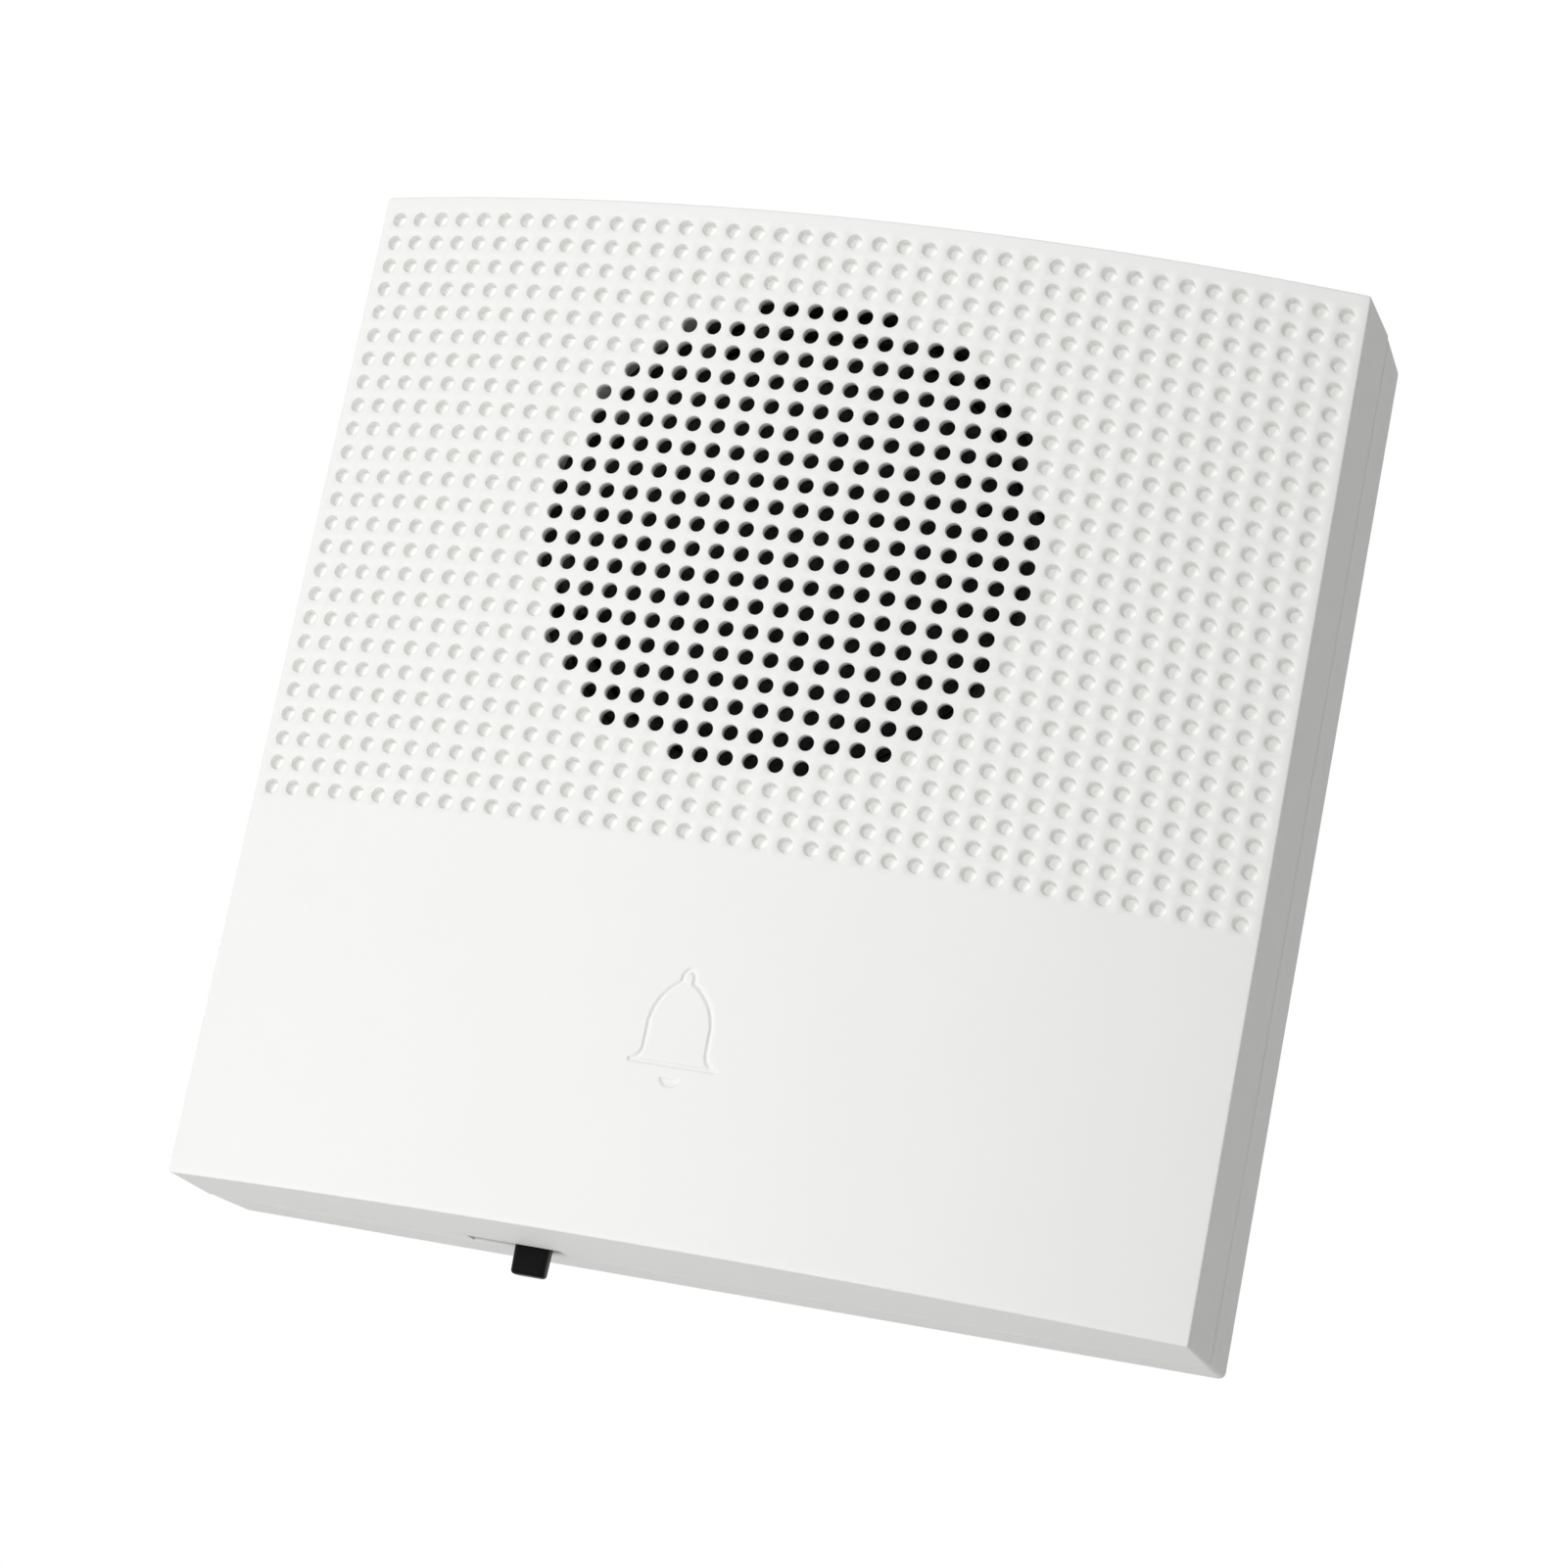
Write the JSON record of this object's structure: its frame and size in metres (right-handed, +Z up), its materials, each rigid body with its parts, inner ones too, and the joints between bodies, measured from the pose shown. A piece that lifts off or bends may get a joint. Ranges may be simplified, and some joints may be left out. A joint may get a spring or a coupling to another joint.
{
  "type": "doorbell chime box",
  "caption": "Square wall-mounted doorbell chime with a dotted curved front, a slide switch below, and a speaker, circuit board and wire clamps inside.",
  "frame": {"origin": "centre of the flat back that lies on the wall", "axes": "+Y goes into the wall, -Y is the front, +Z is up, +X is to the right as seen from the front"},
  "size_m": [0.0938, 0.0269, 0.0967],
  "materials": {
    "cover_white": "fine matte texture",
    "base_white": "fine matte texture",
    "lever_black": "satin",
    "board_green": "solder mask",
    "zinc_steel": "zinc plated",
    "nickel_steel": "nickel plated",
    "phenolic_brown": "phenolic sheet",
    "tinned_brass": "tinned",
    "contact_bronze": "bright",
    "terminal_green": "moulded",
    "clamp_brass": "bright",
    "capacitor_sleeve": "shrink sleeve",
    "resin_black": "moulded resin",
    "resistor_tan": "lacquered",
    "ceramic_orange": "dipped",
    "nylon_white": "moulded nylon",
    "wire_red": "soft vinyl",
    "wire_black": "soft vinyl",
    "ferrite": "sintered",
    "surround_cloth": "doped cloth",
    "spider_cloth": "resin-treated cloth",
    "gasket_paper": "fibre board",
    "cone_paper": "pressed pulp",
    "cap_paper": "pressed pulp",
    "copper_wire": "enamelled"
  },
  "bodies": {
    "base": {"back_cover": "base_white", "circuit_board": "board_green", "board_screws": "zinc_steel", "switch_frame": "nickel_steel", "switch_base": "phenolic_brown", "switch_terminals": "tinned_brass", "terminal_body": "terminal_green", "terminal_contacts": "tinned_brass", "supply_capacitor": "capacitor_sleeve", "output_capacitor": "capacitor_sleeve", "driver_transistor": "resin_black", "chime_chip": "resin_black", "resistors": "resistor_tan", "rectifier_diode": "resin_black", "disc_capacitors": "ceramic_orange", "speaker_socket": "nylon_white", "speaker_socket_pins": "tinned_brass", "speaker_plug": "nylon_white", "speaker_lead_red": "wire_red", "speaker_lead_black": "wire_black", "speaker_frame": "zinc_steel", "speaker_top_plate": "zinc_steel", "speaker_magnet": "ferrite", "speaker_yoke": "zinc_steel", "speaker_surround": "surround_cloth", "speaker_spider": "spider_cloth", "speaker_gasket": "gasket_paper", "lug_strip": "phenolic_brown", "speaker_lugs": "tinned_brass", "speaker_screws": "zinc_steel"},
    "cover": {"front_cover": "cover_white"},
    "lever": {"switch_lever": "lever_black", "switch_contact": "contact_bronze"},
    "diaphragm": {"speaker_cone": "cone_paper", "dust_cap": "cap_paper", "voice_coil": "copper_wire"},
    "clamp_screw_1": {"terminal_screw_1": "zinc_steel"},
    "clamp_1": {"terminal_clamp_1": "clamp_brass"},
    "clamp_screw_2": {"terminal_screw_2": "zinc_steel"},
    "clamp_2": {"terminal_clamp_2": "clamp_brass"},
    "clamp_screw_3": {"terminal_screw_3": "zinc_steel"},
    "clamp_3": {"terminal_clamp_3": "clamp_brass"},
    "clamp_screw_4": {"terminal_screw_4": "zinc_steel"},
    "clamp_4": {"terminal_clamp_4": "clamp_brass"}
  },
  "joints": [
    {"name": "cover_pull", "type": "slide", "parent": "base", "child": "cover", "axis": [0, -1, 0], "range_m": [0, 0.03]},
    {"name": "switch_slide", "type": "slide", "parent": "base", "child": "lever", "axis": [-1, 0, 0], "range_m": [0, 0.003]},
    {"name": "cone_travel", "type": "slide", "parent": "base", "child": "diaphragm", "axis": [0, -1, 0], "range_m": [-0.0005, 0.0005], "stiffness_N_per_m": 1500},
    {"name": "clamp_screw_1_turn", "type": "hinge", "parent": "base", "child": "clamp_screw_1", "pos_m": [0.0188, -0.0155, -0.03981], "axis": [0, 1, 0], "range_deg": [0, 1125]},
    {"name": "clamp_1_rise", "type": "slide", "parent": "base", "child": "clamp_1", "axis": [0, -1, 0], "range_m": [0, 0.0014]},
    {"name": "clamp_screw_2_turn", "type": "hinge", "parent": "base", "child": "clamp_screw_2", "pos_m": [0.0188, -0.0155, -0.03481], "axis": [0, 1, 0], "range_deg": [0, 1125]},
    {"name": "clamp_2_rise", "type": "slide", "parent": "base", "child": "clamp_2", "axis": [0, -1, 0], "range_m": [0, 0.0014]},
    {"name": "clamp_screw_3_turn", "type": "hinge", "parent": "base", "child": "clamp_screw_3", "pos_m": [0.0188, -0.0155, -0.02981], "axis": [0, 1, 0], "range_deg": [0, 1125]},
    {"name": "clamp_3_rise", "type": "slide", "parent": "base", "child": "clamp_3", "axis": [0, -1, 0], "range_m": [0, 0.0014]},
    {"name": "clamp_screw_4_turn", "type": "hinge", "parent": "base", "child": "clamp_screw_4", "pos_m": [0.0188, -0.0155, -0.02481], "axis": [0, 1, 0], "range_deg": [0, 1125]},
    {"name": "clamp_4_rise", "type": "slide", "parent": "base", "child": "clamp_4", "axis": [0, -1, 0], "range_m": [0, 0.0014]}
  ],
  "couplings": [
    {"joint": "clamp_screw_1_turn", "follows": "clamp_1_rise", "rad_per_m": 13963},
    {"joint": "clamp_screw_2_turn", "follows": "clamp_2_rise", "rad_per_m": 13963},
    {"joint": "clamp_screw_3_turn", "follows": "clamp_3_rise", "rad_per_m": 13963},
    {"joint": "clamp_screw_4_turn", "follows": "clamp_4_rise", "rad_per_m": 13963}
  ]
}
